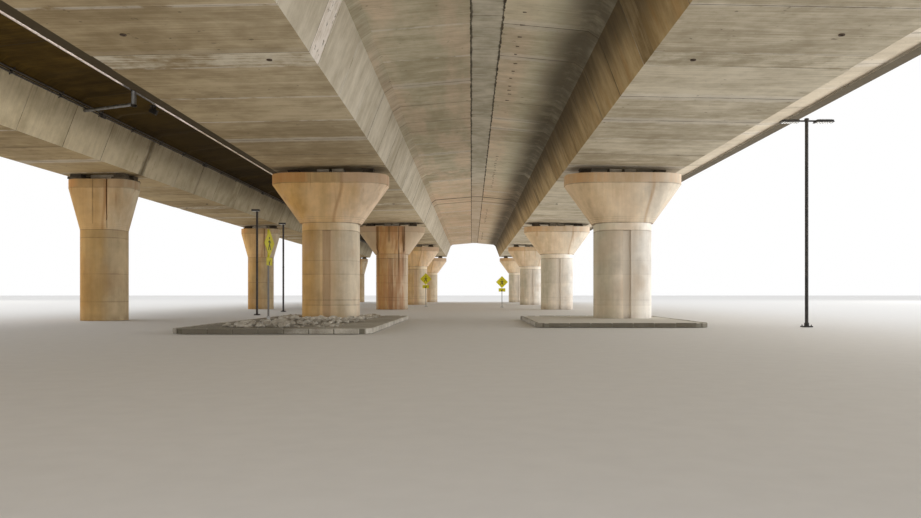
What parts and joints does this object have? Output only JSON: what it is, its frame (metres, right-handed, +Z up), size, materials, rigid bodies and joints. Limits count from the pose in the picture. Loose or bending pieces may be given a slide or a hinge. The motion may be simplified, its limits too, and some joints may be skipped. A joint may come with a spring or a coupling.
{
  "type": "one to ten scale model of a car park under an elevated road",
  "caption": "Scale model of a car park under an elevated road: hollow segmental box girders with wings, carried on flared concrete columns.",
  "frame": {"origin": "on the ground, under the middle of the whole structure's box", "axes": "+Y along the road, away from the picture's camera; +X across it to the right; +Z up"},
  "size_m": [3.49, 12.3, 0.9927],
  "materials": {
    "asphalt": "matte",
    "barrier_concrete": "matte",
    "bearing_blocks": "matte",
    "closure_concrete": "matte",
    "column_concrete": "matte",
    "galvanised_pipe": "satin",
    "girder_concrete": "matte",
    "kerb_concrete": "matte",
    "lamp_metal": "satin",
    "pour_concrete": "matte",
    "ramp_concrete": "matte",
    "seal_rubber": "matte",
    "sign_metal": "satin"
  },
  "bodies": {
    "root": {"crossing_signs": "sign_metal", "deck_closure_strip": "closure_concrete", "drain_pipe": "galvanised_pipe", "east_barrier": "barrier_concrete", "east_bearings": "bearing_blocks", "east_columns": "column_concrete", "east_girder_1": "girder_concrete", "east_girder_2": "girder_concrete", "east_girder_3": "girder_concrete", "east_girder_4": "girder_concrete", "east_girder_5": "girder_concrete", "east_midspan_pours": "pour_concrete", "expansion_joint_seals": "seal_rubber", "kerb_islands": "kerb_concrete", "lamp_posts": "lamp_metal", "median_barrier": "barrier_concrete", "ramp_barriers": "barrier_concrete", "ramp_bearings": "bearing_blocks", "ramp_columns": "column_concrete", "ramp_conduits": "galvanised_pipe", "ramp_girder_1": "ramp_concrete", "ramp_girder_2": "ramp_concrete", "ramp_girder_3": "ramp_concrete", "ramp_girder_4": "ramp_concrete", "ramp_girder_5": "ramp_concrete", "ramp_midspan_pours": "pour_concrete", "ramp_road_surface": "asphalt", "twin_road_surface": "asphalt", "west_barrier": "barrier_concrete", "west_bearings": "bearing_blocks", "west_columns": "column_concrete", "west_girder_1": "girder_concrete", "west_girder_2": "girder_concrete", "west_girder_3": "girder_concrete", "west_girder_4": "girder_concrete", "west_girder_5": "girder_concrete", "west_midspan_pours": "pour_concrete"}
  },
  "joints": []
}
